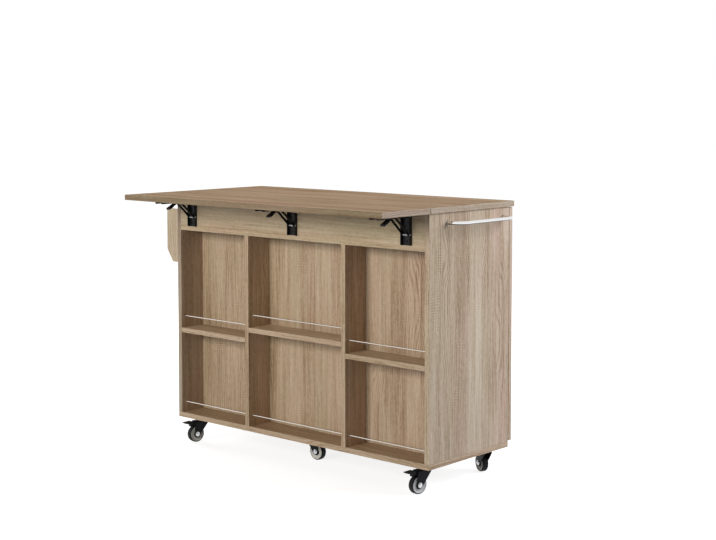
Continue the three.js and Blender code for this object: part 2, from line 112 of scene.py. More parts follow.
def aim_camera():
    data = bpy.data.cameras.new("camera")
    data.sensor_width = CAMERA_SENSOR
    data.lens = CAMERA_LENS
    data.shift_y = CAMERA_SHIFT
    camera = new_object("camera", data)
    camera.location = CAMERA_PLACE
    camera.rotation_euler = (math.radians(90 - CAMERA_PITCH), 0, math.radians(CAMERA_YAW))
    bpy.context.scene.camera = camera


LIGHT_TARGET = np.array([0.0, 0.1, 0.5])

# Softboxes: azimuth from -Y towards +X, elevation, distance, width, height, level and colour.
# Level 1 lights a square-on white surface to white.
SOFTBOXES = {
    "front": (-3, 18, 5.0, 1.4, 1.5, 0.70, (1.0, 0.95, 0.86)),
    "right": (122, 27, 4.0, 2.2, 2.2, 0.91, (1.0, 1.04, 1.14)),
    "above": (180, 78, 3.2, 2.4, 1.6, 0.14, (1.0, 0.96, 0.88)),
    "behind": (205, 22, 4.0, 2.4, 1.8, 0.60, (1.0, 1.0, 1.0)),
    "left": (266, 16, 4.0, 2.0, 1.8, 0.60, (1.0, 1.0, 1.0)),
}


def hang_softboxes():
    """Area lamps on a sphere round the island, each facing its middle; metal mirrors only the room."""
    for name, (azimuth, elevation, distance, width, height, level, colour) in SOFTBOXES.items():
        a, e = math.radians(azimuth), math.radians(elevation)
        away = np.array([math.sin(a) * math.cos(e), -math.cos(a) * math.cos(e), math.sin(e)])
        data = bpy.data.lights.new(f"softbox_{name}", "AREA")
        data.shape = "RECTANGLE"
        data.size, data.size_y = width, height
        data.energy = level * (math.pi * distance) ** 2
        data.color = colour
        lamp = new_object(f"softbox_{name}", data)
        lamp.location = LIGHT_TARGET + distance * away
        lamp.rotation_euler = (math.radians(90) - e, 0, a)
        lamp.visible_glossy = False


class Nodes:
    """A short way to write a node tree: each call adds a node, wires it and gives a socket back."""

    def __init__(self, tree):
        self.tree = tree

    def add(self, kind, inputs=None, output=0, **settings):
        node = self.tree.nodes.new(kind)
        for key, value in settings.items():
            setattr(node, key, value)
        for key, value in (inputs or {}).items():
            self.feed(node.inputs[key], value)
        return node.outputs[output]

    def feed(self, socket, value):
        """Links a socket to another one, or sets it to a plain number or colour."""
        if isinstance(value, bpy.types.NodeSocket):
            self.tree.links.new(value, socket)
        elif isinstance(value, tuple) and len(value) == 3 and socket.type == "RGBA":
            socket.default_value = (*value, 1)
        else:
            socket.default_value = value

    def math(self, operation, *values):
        return self.add("ShaderNodeMath", dict(enumerate(values)), operation=operation)

    def noise(self, vector, scale=1.0, detail=3.0, roughness=0.5):
        inputs = {"Vector": vector, "Scale": scale, "Detail": detail, "Roughness": roughness}
        return self.add("ShaderNodeTexNoise", inputs, noise_dimensions="3D")

    def ramp(self, value, low, high, bottom=0.0, top=1.0):
        """An S-shaped step from bottom to top as the value goes from low to high."""
        inputs = {"Value": value, "From Min": low, "From Max": high, "To Min": bottom, "To Max": top}
        return self.add("ShaderNodeMapRange", inputs, interpolation_type="SMOOTHSTEP")

    def vector(self, x, y, z):
        return self.add("ShaderNodeCombineXYZ", {"X": x, "Y": y, "Z": z})

    def split(self, vector):
        """The x, y and z of a vector."""
        node = self.tree.nodes.new("ShaderNodeSeparateXYZ")
        self.feed(node.inputs["Vector"], vector)
        return node.outputs

    def choose(self, switch, at_zero, at_one):
        """One of two numbers. A Mix node's number sockets are 2 and 3, and its factor's is 0."""
        inputs = {0: switch, 2: at_zero, 3: at_one}
        return self.add("ShaderNodeMix", inputs, data_type="FLOAT")

    def blend(self, factor, first, second, how="MIX"):
        """Two colours mixed, or multiplied. A Mix node's colour sockets are 6 and 7, and 2 comes out."""
        inputs = {0: factor, 6: first, 7: second}
        return self.add("ShaderNodeMix", inputs, output=2, data_type="RGBA", blend_type=how)


def object_place(nodes):
    return nodes.add("ShaderNodeTexCoord", output="Object")


def object_facing(nodes):
    """The x, y and z of the direction that a surface faces."""
    return nodes.split(nodes.add("ShaderNodeTexCoord", output="Normal"))


def seen_directly(nodes):
    """1 for camera, glossy and transmission rays, 0 for the light that a surface scatters."""
    path = nodes.tree.nodes.new("ShaderNodeLightPath")
    mirrored = nodes.math("MAXIMUM", path.outputs["Is Glossy Ray"], path.outputs["Is Transmission Ray"])
    return nodes.math("MAXIMUM", path.outputs["Is Camera Ray"], mirrored)


WHITE = (1.0, 1.0, 1.0)
WORLD_AMBIENT = 0.10


def light_world():
    """White where it is seen or mirrored, and a low even fill for everything it lights."""
    world = bpy.data.worlds.new("studio")
    bpy.context.scene.world = world
    world.use_nodes = True
    nodes = Nodes(world.node_tree)
    background = world.node_tree.nodes["Background"]
    strength = nodes.ramp(seen_directly(nodes), 0.0, 1.0, WORLD_AMBIENT, 1.0)
    nodes.feed(background.inputs["Strength"], strength)
    nodes.feed(background.inputs["Color"], WHITE)


FLOOR_RADIUS = 30.0
FLOOR_SIDES = 96
FLOOR_COLOUR = (0.35, 0.35, 0.35)
# How strongly the floor glows for the camera under the island and far out, and between which
# distances from the island's middle, in metres, the one becomes the other.
FLOOR_GLOW_NEAR, FLOOR_GLOW_FAR = 0.82, 1.0
FLOOR_FADE = (1.0, 3.5)


def lay_floor():
    """A wide pale disc that reads as white and keeps a faint shadow."""
    material = bpy.data.materials.new("floor")
    material.use_nodes = True
    tree = material.node_tree
    tree.nodes.clear()
    nodes = Nodes(tree)
    seen = seen_directly(nodes)
    diffuse = nodes.add("ShaderNodeBsdfDiffuse", {"Color": FLOOR_COLOUR})
    away = nodes.add("ShaderNodeVectorMath", {0: object_place(nodes)}, output="Value", operation="LENGTH")
    strength = nodes.ramp(away, *FLOOR_FADE, FLOOR_GLOW_NEAR, FLOOR_GLOW_FAR)
    glow = nodes.add("ShaderNodeEmission", {"Strength": nodes.math("MULTIPLY", seen, strength)})
    surface = nodes.add("ShaderNodeAddShader", {0: diffuse, 1: glow})
    nodes.feed(tree.nodes.new("ShaderNodeOutputMaterial").inputs["Surface"], surface)

    rim = np.column_stack([polygon(FLOOR_SIDES, FLOOR_RADIUS), np.zeros(FLOOR_SIDES)])
    mesh = bpy.data.meshes.new("floor")
    mesh.from_pydata(rim.tolist(), [], [list(range(FLOOR_SIDES))])
    mesh.materials.append(material)
    floor = new_object("floor", mesh)


# -------- the oak print

# Oak colours, from the darkest check to the palest flake.
OAK_COLOURS = (
    (0.00, (0.200, 0.130, 0.078)),
    (0.30, (0.335, 0.240, 0.160)),
    (0.55, (0.440, 0.335, 0.241)),
    (0.80, (0.505, 0.398, 0.300)),
    (1.00, (0.575, 0.470, 0.370)),
)
MIDDLE_OAK = OAK_COLOURS[2][1]
PINK_STAVE = (1.035, 0.98, 1.01)
GREY_STAVE = (0.965, 1.015, 0.96)

# The print's noise: features to the metre across and along, detail, roughness and its own layer.
OAK_NOISE = {
    "wander": (7.0, 2.6, 2.0, 0.55, 3.7),
    "stave_drift": (2.0, 0.7, 1.0, 0.55, 8.1),
    "broad": (6.0, 1.1, 2.0, 0.55, 1.3),
    "bands": (30.0, 1.4, 3.0, 0.6, 10.2),
    "medium": (110.0, 3.0, 4.0, 0.66, 2.2),
    "fine": (300.0, 7.0, 4.0, 0.7, 5.5),
    "fleck": (160.0, 60.0, 3.0, 0.7, 14.8),
    "comb": (14.0, 2.0, 2.0, 0.55, 15.7),
    "figure_bend": (6.5, 1.9, 2.0, 0.55, 6.4),
    "figure": (4.5, 1.1, 1.0, 0.55, 9.3),
    "saw_jitter": (22.0, 26.0, 3.0, 0.6, 4.4),
    "saw_marks": (17.0, 6.5, 3.0, 0.6, 7.9),
    "checks": (48.0, 1.5, 3.0, 0.6, 11.7),
    "pores": (900.0, 26.0, 1.0, 0.5, 12.9),
    "blush": (14.0, 2.2, 2.0, 0.55, 13.6),
}
NOISE_GAIN = 3.2
# Between which levels of their noise these features fade in.
FEATURE_PLACES = {
    "comb": (0.35, 0.8),
    "figure": (-0.1, 0.5),
    "saw_marks": (0.08, 0.78),
    "checks": (0.58, 1.0),
    "pores": (0.45, 0.9),
}
# How far noise shifts the grain, the staves' joints, the figure and the saw marks, in metres.
SHIFTS = {"wander": 0.0045, "stave_drift": 0.0012, "figure_bend": 0.042, "saw_jitter": 0.0036}

# Staves and cathedral lines to the metre, and how thin those lines are.
STAVES = 15.0
FIGURE_LINES = 120.0
FIGURE_THINNESS = 3.0
# Length between two comb lines and between two saw marks, in metres.
COMB_PITCH = 0.0072
SAW_PITCH = 0.0088
# Saw marks run in a zigzag, in the staves whose third random number is high.
ZIGZAG_WIDTH, ZIGZAG_SLOPE = 0.05, 0.12
SAWN_STAVES = (0.30, 0.45)

# Spread and lowest value of the staves' own tones and of their lean to grey.
STAVE_TONE = (0.30, 0.47)
STAVE_LEAN = (0.45, 0.275)
BLUSH_PART = {"blush": 0.5}
# What each layer adds to the tone, to the roughness and to the relief.
TONE_PARTS = {
    "broad": 0.12, "bands": 0.26, "medium": 0.32, "fine": 0.38, "fleck": 0.24,
    "comb": 0.09, "saw_marks": 0.20, "figure": -0.40, "checks": -0.50, "pores": -0.12,
}
OAK_ROUGHNESS = 0.56
ROUGHNESS_PARTS = {"fine": 0.06, "pores": 0.1}
TONE_RELIEF = 0.6
RELIEF_PARTS = {"pores": -0.5, "saw_marks": 0.06}


class OakPrint(Nodes):
    """The oak print's nodes, worked out from two lengths in metres, across and along."""

    def __init__(self, tree):
        super().__init__(tree)
        lengths = tree.nodes.new("NodeGroupInput").outputs
        self.across, self.along = lengths["Across"], lengths["Along"]

    def scaled(self, value, amount):
        return self.math("MULTIPLY", value, amount)

    def weighed(self, start, layers, parts):
        """A start, plus each layer times its part."""
        for name, part in parts.items():
            start = self.math("ADD", start, self.scaled(layers[name], part))
        return start

    def drawn_out(self, name, across=None):
        """Noise in about -1..1, stretched along the grain as OAK_NOISE says."""
        wide, long, detail, roughness, layer = OAK_NOISE[name]
        across = self.across if across is None else across
        place = self.vector(self.scaled(across, wide), self.scaled(self.along, long), layer)
        centred = self.math("SUBTRACT", self.noise(place, 1.0, detail, roughness), 0.5)
        return self.scaled(centred, NOISE_GAIN)

    def places(self, name):
        """1 where a feature shows and 0 elsewhere, with soft borders."""
        return self.ramp(self.drawn_out(name), *FEATURE_PLACES[name])

    def shifted(self, distance, name):
        return self.math("ADD", distance, self.scaled(self.drawn_out(name), SHIFTS[name]))

    def staves(self):
        """Three random numbers for each stave, from a one-way cell pattern across the board."""
        inputs = {"W": self.shifted(self.across, "stave_drift"), "Scale": STAVES, "Randomness": 1.0}
        cells = self.add("ShaderNodeTexVoronoi", inputs, output="Color", voronoi_dimensions="1D")
        numbers = self.tree.nodes.new("ShaderNodeSeparateColor")
        self.feed(numbers.inputs["Color"], cells)
        return numbers.outputs

    def comb_lines(self, grain):
        """Straight fine lines: a sine of the distance across, in places."""
        lines = self.math("SINE", self.scaled(grain, TAU / COMB_PITCH))
        return self.math("MULTIPLY", lines, self.places("comb"))

    def cathedral_lines(self, grain):
        """A sine of the distance across, bent by slow noise and thinned by a power, in places."""
        wave = self.math("SINE", self.scaled(self.shifted(grain, "figure_bend"), TAU * FIGURE_LINES))
        lines = self.math("POWER", self.math("MULTIPLY_ADD", wave, 0.5, 0.5), FIGURE_THINNESS)
        return self.math("MULTIPLY", lines, self.places("figure"))

    def saw_marks(self, stave_number):
        """A sine of the distance along, in a shallow zigzag and shifted by noise, in some staves."""
        zigzag = self.scaled(self.math("PINGPONG", self.across, ZIGZAG_WIDTH), ZIGZAG_SLOPE)
        line = self.shifted(self.math("ADD", self.along, zigzag), "saw_jitter")
        beat = self.math("SINE", self.scaled(line, TAU / SAW_PITCH))
        sawn = self.math("MULTIPLY", self.places("saw_marks"), self.ramp(stave_number, *SAWN_STAVES))
        return self.math("MULTIPLY", beat, sawn)

    def oak_colour(self, tone):
        """The colour at a tone, between its two neighbours in OAK_COLOURS."""
        ramp = self.tree.nodes.new("ShaderNodeValToRGB")
        stops = ramp.color_ramp.elements
        while len(stops) < len(OAK_COLOURS):
            stops.new(0.5)
        for stop, (position, colour) in zip(stops, OAK_COLOURS):
            stop.position = position
            stop.color = (*colour, 1)
        self.feed(ramp.inputs[0], tone)
        return ramp.outputs["Color"]


def oak_pattern():
    """Sawn oak print as one group of nodes that all boards share.

    Its tone is the stave's own, plus noise drawn out along the board at several widths, comb lines
    and saw marks, less cathedral lines, checks and pores. It picks the oak colour, which leans to
    pink or grey.
    """
    tree = bpy.data.node_groups.new("sawn_oak", "ShaderNodeTree")
    for label in ("Across", "Along"):
        tree.interface.new_socket(label, in_out="INPUT", socket_type="NodeSocketFloat")
    for label, kind in (("Color", "Color"), ("Roughness", "Float"), ("Height", "Float")):
        tree.interface.new_socket(label, in_out="OUTPUT", socket_type=f"NodeSocket{kind}")
    board = OakPrint(tree)

    grain = board.shifted(board.across, "wander")
    stave_tone, stave_lean, stave_sawn = board.staves()
    layers = {name: board.drawn_out(name) for name in ("broad", "bands", "fleck", "blush")}
    layers.update({name: board.drawn_out(name, grain) for name in ("medium", "fine")})
    layers.update({name: board.places(name) for name in ("checks", "pores")})
    layers["comb"] = board.comb_lines(grain)
    layers["figure"] = board.cathedral_lines(grain)
    layers["saw_marks"] = board.saw_marks(stave_sawn)

    tone = board.weighed(board.math("MULTIPLY_ADD", stave_tone, *STAVE_TONE), layers, TONE_PARTS)
    lean = board.weighed(board.math("MULTIPLY_ADD", stave_lean, *STAVE_LEAN), layers, BLUSH_PART)
    kept_lean = board.math("MINIMUM", board.math("MAXIMUM", lean, 0.0), 1.0)
    shade = board.blend(kept_lean, PINK_STAVE, GREY_STAVE)
    leave = tree.nodes.new("NodeGroupOutput")
    board.feed(leave.inputs["Color"], board.blend(1.0, board.oak_colour(tone), shade, "MULTIPLY"))
    board.feed(leave.inputs["Roughness"], board.weighed(OAK_ROUGHNESS, layers, ROUGHNESS_PARTS))
    relief = board.weighed(board.scaled(tone, TONE_RELIEF), layers, RELIEF_PARTS)
    board.feed(leave.inputs["Height"], relief)
    return tree


OAK_PATTERN = oak_pattern()


# -------- materials

# Most of a noise's values lie between these.
NOISE_SPAN = (0.3, 0.7)


class Finish(Nodes):
    """The nodes of a new material, whose plain numbers are set on the shader itself."""

    def __init__(self, name, colour, roughness, metallic=0.0, shine=0.5):
        self.material = bpy.data.materials.new(name)
        self.material.use_nodes = True
        super().__init__(self.material.node_tree)
        self.shader = self.tree.nodes["Principled BSDF"]
        self.place = object_place(self)
        self.set("Metallic", metallic)
        self.set("Specular IOR Level", shine)
        self.set("Base Color", colour)
        self.set("Roughness", roughness)

    def set(self, label, value):
        self.feed(self.shader.inputs[label], value)

    def vary_roughness(self, noise, lowest, highest):
        self.set("Roughness", self.ramp(noise, *NOISE_SPAN, lowest, highest))

    def bump(self, height, strength, distance):
        """Roughens the surface by a height of 0 to 1, which stands for `distance` millimetres."""
        inputs = {"Height": height, "Strength": strength, "Distance": distance * MM}
        self.set("Normal", self.add("ShaderNodeBump", inputs))


def times(colour, factor):
    return tuple(channel * factor for channel in colour)


AXES = {"x": 0, "y": 1, "z": 2}
# A face is square to an axis when its normal's part along that axis is more than this.
SQUARE_ON = 0.7
OAK_SHINE = 0.35
# Where on the print a board is cut, across and along in metres: the first, the step to the next,
# and how much further across for the end edges.
FIRST_CUT = (20.0, 10.0)
CUT_STEP = (1.37, 0.71)
EDGING_SHIFT = 5.0


def oak(name, across, along, through, cut, tints=None, shine=OAK_SHINE):
    """Oak laminate on one board: the grain runs `along`, and `through` is the board's thickness.

    The pattern turns round the long edges, because the length across is added to the depth.
    End edges, whose normal is along the grain, carry an edging with the grain along the edge.
    `tints` multiply the colours of the faces, the long edges and the end edges; some of them are painted
    shade and painted bounce light.
    """
    board = Finish(name, MIDDLE_OAK, OAK_ROUGHNESS, shine=shine)
    place, facing = board.split(board.place), object_facing(board)
    side, length, depth = (place[AXES[axis]] for axis in (across, along, through))

    def square_to(axis):
        return board.math("GREATER_THAN", board.math("ABSOLUTE", facing[AXES[axis]]), SQUARE_ON)

    is_end = square_to(along)
    u = board.choose(is_end, board.math("ADD", side, depth), board.math("ADD", depth, EDGING_SHIFT))
    v = board.choose(is_end, length, side)
    pattern = board.tree.nodes.new("ShaderNodeGroup")
    pattern.node_tree = OAK_PATTERN
    for label, distance, step, first in zip(("Across", "Along"), (u, v), CUT_STEP, FIRST_CUT):
        board.feed(pattern.inputs[label], board.math("ADD", distance, cut * step + first))
    colour = pattern.outputs["Color"]
    if tints:
        face, long_edge, end_edge = tints
        tint = board.blend(is_end, board.blend(square_to(through), long_edge, face), end_edge)
        colour = board.blend(1.0, colour, tint, "MULTIPLY")
    board.set("Base Color", colour)
    board.set("Roughness", pattern.outputs["Roughness"])
    board.bump(pattern.outputs["Height"], 0.25, 0.35)
    return board.material


def drawer_board():
    """Pale laminated board: faint clouds of colour and a fine emboss."""
    dark, middle, light = (0.57, 0.515, 0.44), (0.62, 0.56, 0.48), (0.67, 0.61, 0.53)
    board = Finish("drawer_board", middle, 0.6)
    board.set("Base Color", board.blend(board.noise(board.place, 38.0, 4.0), dark, light))
    board.bump(board.noise(board.place, 900.0, 2.0), 0.15, 0.1)
    return board.material


def black_paint(name, roughness, colour=(0.010, 0.010, 0.011), shine=0.18):
    """Black paint on pressed steel: a fine orange peel, clouds of duller paint and faint dust."""
    paint = Finish(name, colour, roughness, shine=shine)
    paint.vary_roughness(paint.noise(paint.place, 26.0, 3.0), roughness - 0.06, roughness + 0.1)
    dust = paint.ramp(paint.noise(paint.place, 70.0, 4.0, 0.7), 0.45, 0.8)
    paint.set("Base Color", paint.blend(dust, colour, times(colour, 2.1)))
    paint.bump(paint.noise(paint.place, 520.0, 2.0), 0.12, 0.12)
    return paint.material


def bright_metal(name, colour, roughness, stretch=(1.0, 1.0, 1.0), under=None):
    """Plated or brushed metal, with fine drawn lines in its shine and slight clouding.

    Surfaces that face down take the colour `under`, a painted dark reflection of the ground below.
    """
    metal = Finish(name, colour, roughness, metallic=1.0)
    stretched = metal.add("ShaderNodeMapping", {"Vector": metal.place, "Scale": stretch})
    lines = metal.noise(stretched, 400.0, 3.0, 0.6)
    metal.vary_roughness(lines, max(roughness - 0.05, 0.04), roughness + 0.08)
    plating_and_painted_reflection = metal.blend(metal.noise(metal.place, 30.0, 2.0), times(colour, 0.92), colour)
    if under:
        # Painted reflection: faces that turn down fade to the colour `under`.
        facing_up = object_facing(metal)[AXES["z"]]
        plating_and_painted_reflection = metal.blend(metal.ramp(facing_up, -0.7, 0.0), under, plating_and_painted_reflection)
    metal.set("Base Color", plating_and_painted_reflection)
    metal.bump(lines, 0.05, 0.05)
    return metal.material


def moulded(name, colour, roughness, mottle=0.12, shine=0.4):
    """Moulded rubber or plastic: faint mottling, a fine matt texture and scuffed roughness."""
    skin = Finish(name, colour, roughness, shine=shine)
    clouds = skin.noise(skin.place, 60.0, 4.0, 0.6)
    skin.set("Base Color", skin.blend(clouds, times(colour, 1 - mottle), times(colour, 1 + mottle)))
    skin.vary_roughness(clouds, roughness - 0.05, roughness + 0.08)
    skin.bump(skin.noise(skin.place, 260.0, 3.0), 0.15, 0.15)
    return skin.material


BLACK_STEEL = black_paint("black_steel", 0.28)
CASTER_BLACK = black_paint("caster_black", 0.34, colour=(0.007, 0.007, 0.009), shine=0.12)
# Chrome whose faces turned down carry a painted dark reflection.
CHROME = bright_metal("chrome", (0.84, 0.84, 0.83), 0.09, under=(0.10, 0.10, 0.095))
NICKEL = bright_metal("bright_nickel", (0.66, 0.65, 0.64), 0.2, stretch=(1.0, 1.0, 6.0))
PIN_STEEL = bright_metal("pin_steel", (0.30, 0.30, 0.30), 0.3)
# The wires' warm colour is painted reflection of the oak round the rods.
WIRE = bright_metal("bright_wire", (0.78, 0.73, 0.67), 0.16, stretch=(0.1, 4.0, 4.0))
ZINC = bright_metal("zinc_plate", (0.70, 0.71, 0.73), 0.26)
TYRE = moulded("tyre_rubber", (0.009, 0.009, 0.010), 0.5, shine=0.12)
HUB_BLACK = moulded("hub_plastic", (0.008, 0.008, 0.009), 0.45, shine=0.12)
WHEEL_CORE = moulded("wheel_core", (0.60, 0.60, 0.585), 0.36, mottle=0.05)


# -------- surfaces, as (points, faces)

def unit(vectors):
    vectors = np.array(vectors, float)
    return vectors / np.linalg.norm(vectors, axis=-1, keepdims=True)


def quarter_turn(count):
    """Evenly spaced angles from zero to a right angle."""
    return np.linspace(0, math.pi / 2, count)


def grid_faces(rows, columns, ring=True, loop=False):
    """Quads of a grid of points; a ring joins its last column to its first, a loop its rows."""
    r = np.arange(rows if loop else rows - 1)[:, None]
    c = np.arange(columns if ring else columns - 1)[None, :]
    here, right = r * columns + c, r * columns + (c + 1) % columns
    up, up_right = (r + 1) % rows * columns + c, (r + 1) % rows * columns + (c + 1) % columns
    return np.stack([here, right, up_right, up], axis=-1).reshape(-1, 4).tolist()


def rings(points, loop=False):
    """A tube of rings, rows by sides by 3, capped flat at both ends unless its rows form a loop."""
    rows, sides = points.shape[:2]
    faces = grid_faces(rows, sides, loop=loop)
    if not loop:
        faces.append(list(range(sides))[::-1])
        faces.append(list(range((rows - 1) * sides, rows * sides)))
    return points.reshape(-1, 3), faces


def lathe(profile, sides=48, loop=False):
    """A profile of (radius, height) turned about Z: x = r cos a, y = r sin a, z = height."""
    radius, height = np.array(profile, float).T
    angles = np.linspace(0, TAU, sides, endpoint=False)
    x = radius[:, None] * np.cos(angles)
    y = radius[:, None] * np.sin(angles)
    z = np.repeat(height[:, None], sides, axis=1)
    return rings(np.stack([x, y, z], axis=-1), loop)


def tube(path, radius, normal, sides):
    """A circle carried along a flat path: side = normal x tangent, point = path + r (cos, sin)."""
    side = np.cross(normal, unit(np.gradient(path, axis=0)))
    angles = np.linspace(0, TAU, sides, endpoint=False)[None, :, None]
    around = np.cos(angles) * side[:, None, :] + np.sin(angles) * np.array(normal, float)
    return rings(path[:, None, :] + radius * around)


def inset(outline, distance):
    """Moves each point of a counterclockwise outline inwards, square to both of its edges."""
    edge = unit(np.roll(outline, -1, axis=0) - outline)
    out_next = np.column_stack([edge[:, 1], -edge[:, 0]])
    out_last = np.roll(out_next, 1, axis=0)
    share = 1 + np.sum(out_next * out_last, axis=1, keepdims=True)
    return outline - distance * (out_next + out_last) / share


RIM_STEPS = 3


def plate(outline, thickness, edge):
    """An outline in XY raised from z = 0, whose two rims are quarter rounds of radius edge."""
    outline = np.array(outline, float)
    turn = quarter_turn(RIM_STEPS + 1)
    insets = edge * (1 - np.sin(turn))
    lifts = edge * (1 - np.cos(turn))
    insets = np.concatenate([insets, insets[::-1]])
    lifts = np.concatenate([lifts, thickness - lifts[::-1]])
    layers = [np.column_stack([inset(outline, d), np.full(len(outline), z)]) for d, z in zip(insets, lifts)]
    return rings(np.stack(layers))


def rounded(corners, radius, steps=5):
    """A counterclockwise outline whose corners become arcs, each tangent to both of its edges.

    With h for half the angle at a corner, the arc's centre is r / sin h from the corner on the
    line that halves the angle, and the arc starts r / tan h from the corner on the edge behind.
    """
    corners = np.array(corners, float)
    behind = unit(np.roll(corners, 1, axis=0) - corners)
    ahead = unit(np.roll(corners, -1, axis=0) - corners)
    half = np.arccos(np.sum(behind * ahead, axis=1))[:, None] / 2
    centre = corners + unit(behind + ahead) * radius / np.sin(half)
    start = corners + behind * radius / np.tan(half) - centre
    bend = np.sign(behind[:, 1] * ahead[:, 0] - behind[:, 0] * ahead[:, 1])[:, None]
    sweep = (math.pi - 2 * half) * bend
    angles = np.arctan2(start[:, 1:], start[:, :1]) + sweep * np.linspace(0, 1, steps + 1)
    arcs = centre[:, None, :] + radius * np.stack([np.cos(angles), np.sin(angles)], axis=-1)
    return arcs.reshape(-1, 2)


def polygon(sides, radius):
    angles = np.linspace(0, TAU, sides, endpoint=False)
    return np.column_stack([radius * np.cos(angles), radius * np.sin(angles)])


def rounded_plate(half_width, half_height, corner, sheet, edge):
    """A plate round the origin whose corners are rounded."""
    corners = np.array([(-1, -1), (1, -1), (1, 1), (-1, 1)]) * (half_width, half_height)
    return plate(rounded(corners, corner), sheet, edge)


def turned(shell, x_axis, z_axis, origin):
    """Lays a shell's own X and Z along the given directions, with its zero at the origin."""
    points, faces = shell
    x_axis, z_axis = unit(x_axis), unit(z_axis)
    basis = np.stack([x_axis, np.cross(z_axis, x_axis), z_axis])
    return points @ basis + np.array(origin, float), faces


SHARP_ANGLE = 35


def make(name, shells, material, body, replaces=(), sharp=SHARP_ANGLE):
    """One piece from shells in millimetres, smooth where its faces meet at less than `sharp`."""
    points, faces, start = [], [], 0
    for shell_points, shell_faces in shells:
        points.append(shell_points)
        faces += [[start + i for i in face] for face in shell_faces]
        start += len(shell_points)
    mesh = bpy.data.meshes.new(name)
    mesh.from_pydata((np.concatenate(points) * MM).tolist(), [], faces)
    mesh.shade_smooth()
    mesh.set_sharp_from_angle(angle=math.radians(sharp))
    mesh.materials.append(material)
    piece = new_object(name, mesh)
    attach(piece, body)
    if replaces:
        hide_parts(*replaces)
    return piece


# -------- boards and pressed steel

WELD_DISTANCE = 0.01


def round_edges(piece, width, segments=2, angle=SHARP_ANGLE):
    """Bevels the edges where a piece's faces meet at more than the angle."""
    bevel = piece.modifiers.new("worn_edge", "BEVEL")
    bevel.width = width * MM
    bevel.segments = segments
    bevel.limit_method = "ANGLE"
    bevel.angle_limit = math.radians(angle)


def finish(node, material, wear, segments=2):
    """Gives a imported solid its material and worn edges; its loose triangles are welded first."""
    solid = frame["nodes"][node]
    for place in solid.material_slots:
        place.material = material
    weld = solid.modifiers.new("weld", "WELD")
    weld.merge_threshold = WELD_DISTANCE * MM
    round_edges(solid, wear, segments)


# The boards by how their grain lies: across, along and through the board. A board's place in the
# whole list picks its cut of the print.
LYING = ("y", "x", "z")
BOARDS = {
    ("y", "z", "x"): (
        "left_side_panel", "right_side_panel", "cubby_divider_left", "cubby_divider_right",
        "cabinet_partition",
    ),
    ("x", "z", "y"): (
        "cubby_back_panel", "rack_front_end", "rack_back_end", "left_door", "right_door",
        "bottom_drawer_front", "middle_drawer_front", "top_drawer_front",
    ),
    LYING: (
        "base_board", "cubby_shelf_left", "cubby_shelf_middle", "cubby_shelf_right", "cupboard_shelf",
    ),
    ("z", "x", "y"): ("apron_rail",),
    ("x", "y", "z"): ("rack_floor",),
    ("z", "y", "x"): ("rack_slat",),
}
BOARD_GRAIN = {board: grain for grain, boards in BOARDS.items() for board in boards}
DRAWER_FRONTS_CUT = 40
WORKTOP_CUTS = {"main_top": 50, "drop_leaf": 51}

# Tints against the carcass's oak: of the faces, of the long edges' edging and of the ends' edging.
# On the worktop and the dividers they are partly painted light and shade, as said at each; the
# other tints make a board or its edging lighter, darker, warmer or cooler.
PLAIN = (1.0, 1.0, 1.0)
# The worktop's faces are darkened as painted shade of light that grazes the top; its long edges are partly
# a darker edging and partly painted shade.
WORKTOP_TINTS_WITH_PAINTED_SHADE = (0.76, 0.695, 0.625), (0.53, 0.51, 0.485), (0.90, 0.92, 0.96)
BOARD_TINTS_WITH_PAINTED_LIGHT = {
    "left_side_panel": (PLAIN, (0.80, 0.88, 0.96), PLAIN),
    "right_side_panel": (PLAIN, (1.07, 1.11, 1.17), PLAIN),
    "apron_rail": ((0.97, 1.01, 0.97), PLAIN, PLAIN),
    "base_board": ((0.76, 0.69, 0.61), PLAIN, (0.97, 0.94, 0.88)),
    **{f"cubby_shelf_{side}": ((0.95, 0.91, 0.86), PLAIN, PLAIN) for side in SIDES},
    # Divider faces lighter and warmer: painted warm bounce light on the cubbies' inner walls.
    **{f"cubby_divider_{side}": ((1.10, 1.04, 0.96), PLAIN, PLAIN) for side in ("left", "right")},
    "rack_front_end": ((0.94, 1.0, 1.0), PLAIN, PLAIN),
}
BOARD_WEAR = 0.7


def finish_boards():
    """Each board gets its own cut of the print; the drawer fronts share one, so their grain runs on."""
    for number, (node, grain) in enumerate(BOARD_GRAIN.items()):
        cut = DRAWER_FRONTS_CUT if node.endswith("drawer_front") else number
        material = oak(f"oak_{node}", *grain, cut, tints=BOARD_TINTS_WITH_PAINTED_LIGHT.get(node))
        finish(node, material, BOARD_WEAR)
    for node, cut in WORKTOP_CUTS.items():
        material = oak(f"worktop_{node}", *LYING, cut, tints=WORKTOP_TINTS_WITH_PAINTED_SHADE, shine=0.0)
        finish(node, material, BOARD_WEAR)
    board = drawer_board()
    for row in DRAWERS:
        finish(f"{row}_drawer_box", board, wear=0.5)


BRACKET_WEAR = {"bracket_plate": 0.45, "bracket_arm": 0.45, "bracket_brace": 0.45, "release_lever": 0.6}


def finish_steel():
    """Black paint on the brackets, and on the pedals, whose edges are rounder."""
    for side in SIDES:
        for part, wear in BRACKET_WEAR.items():
            finish(f"{part}_{side}", BLACK_STEEL, wear)
    for name in BRAKED_CASTERS:
        finish(f"brake_pedal_{name}", CASTER_BLACK, wear=1.0, segments=3)


# -------- bracket fittings

LEVER_DROOP = math.radians(27)
LEVER_HALF = 9.0
FLANGE_SHEET = 1.6
# A lever's side flange, along the lever from its pivot and square to it.
LEVER_FLANGE = [(9, 0.5), (15, -3.0), (26, -3.4), (31, -5.0), (44, -5.0), (47, -3.2), (47, 0.5)]


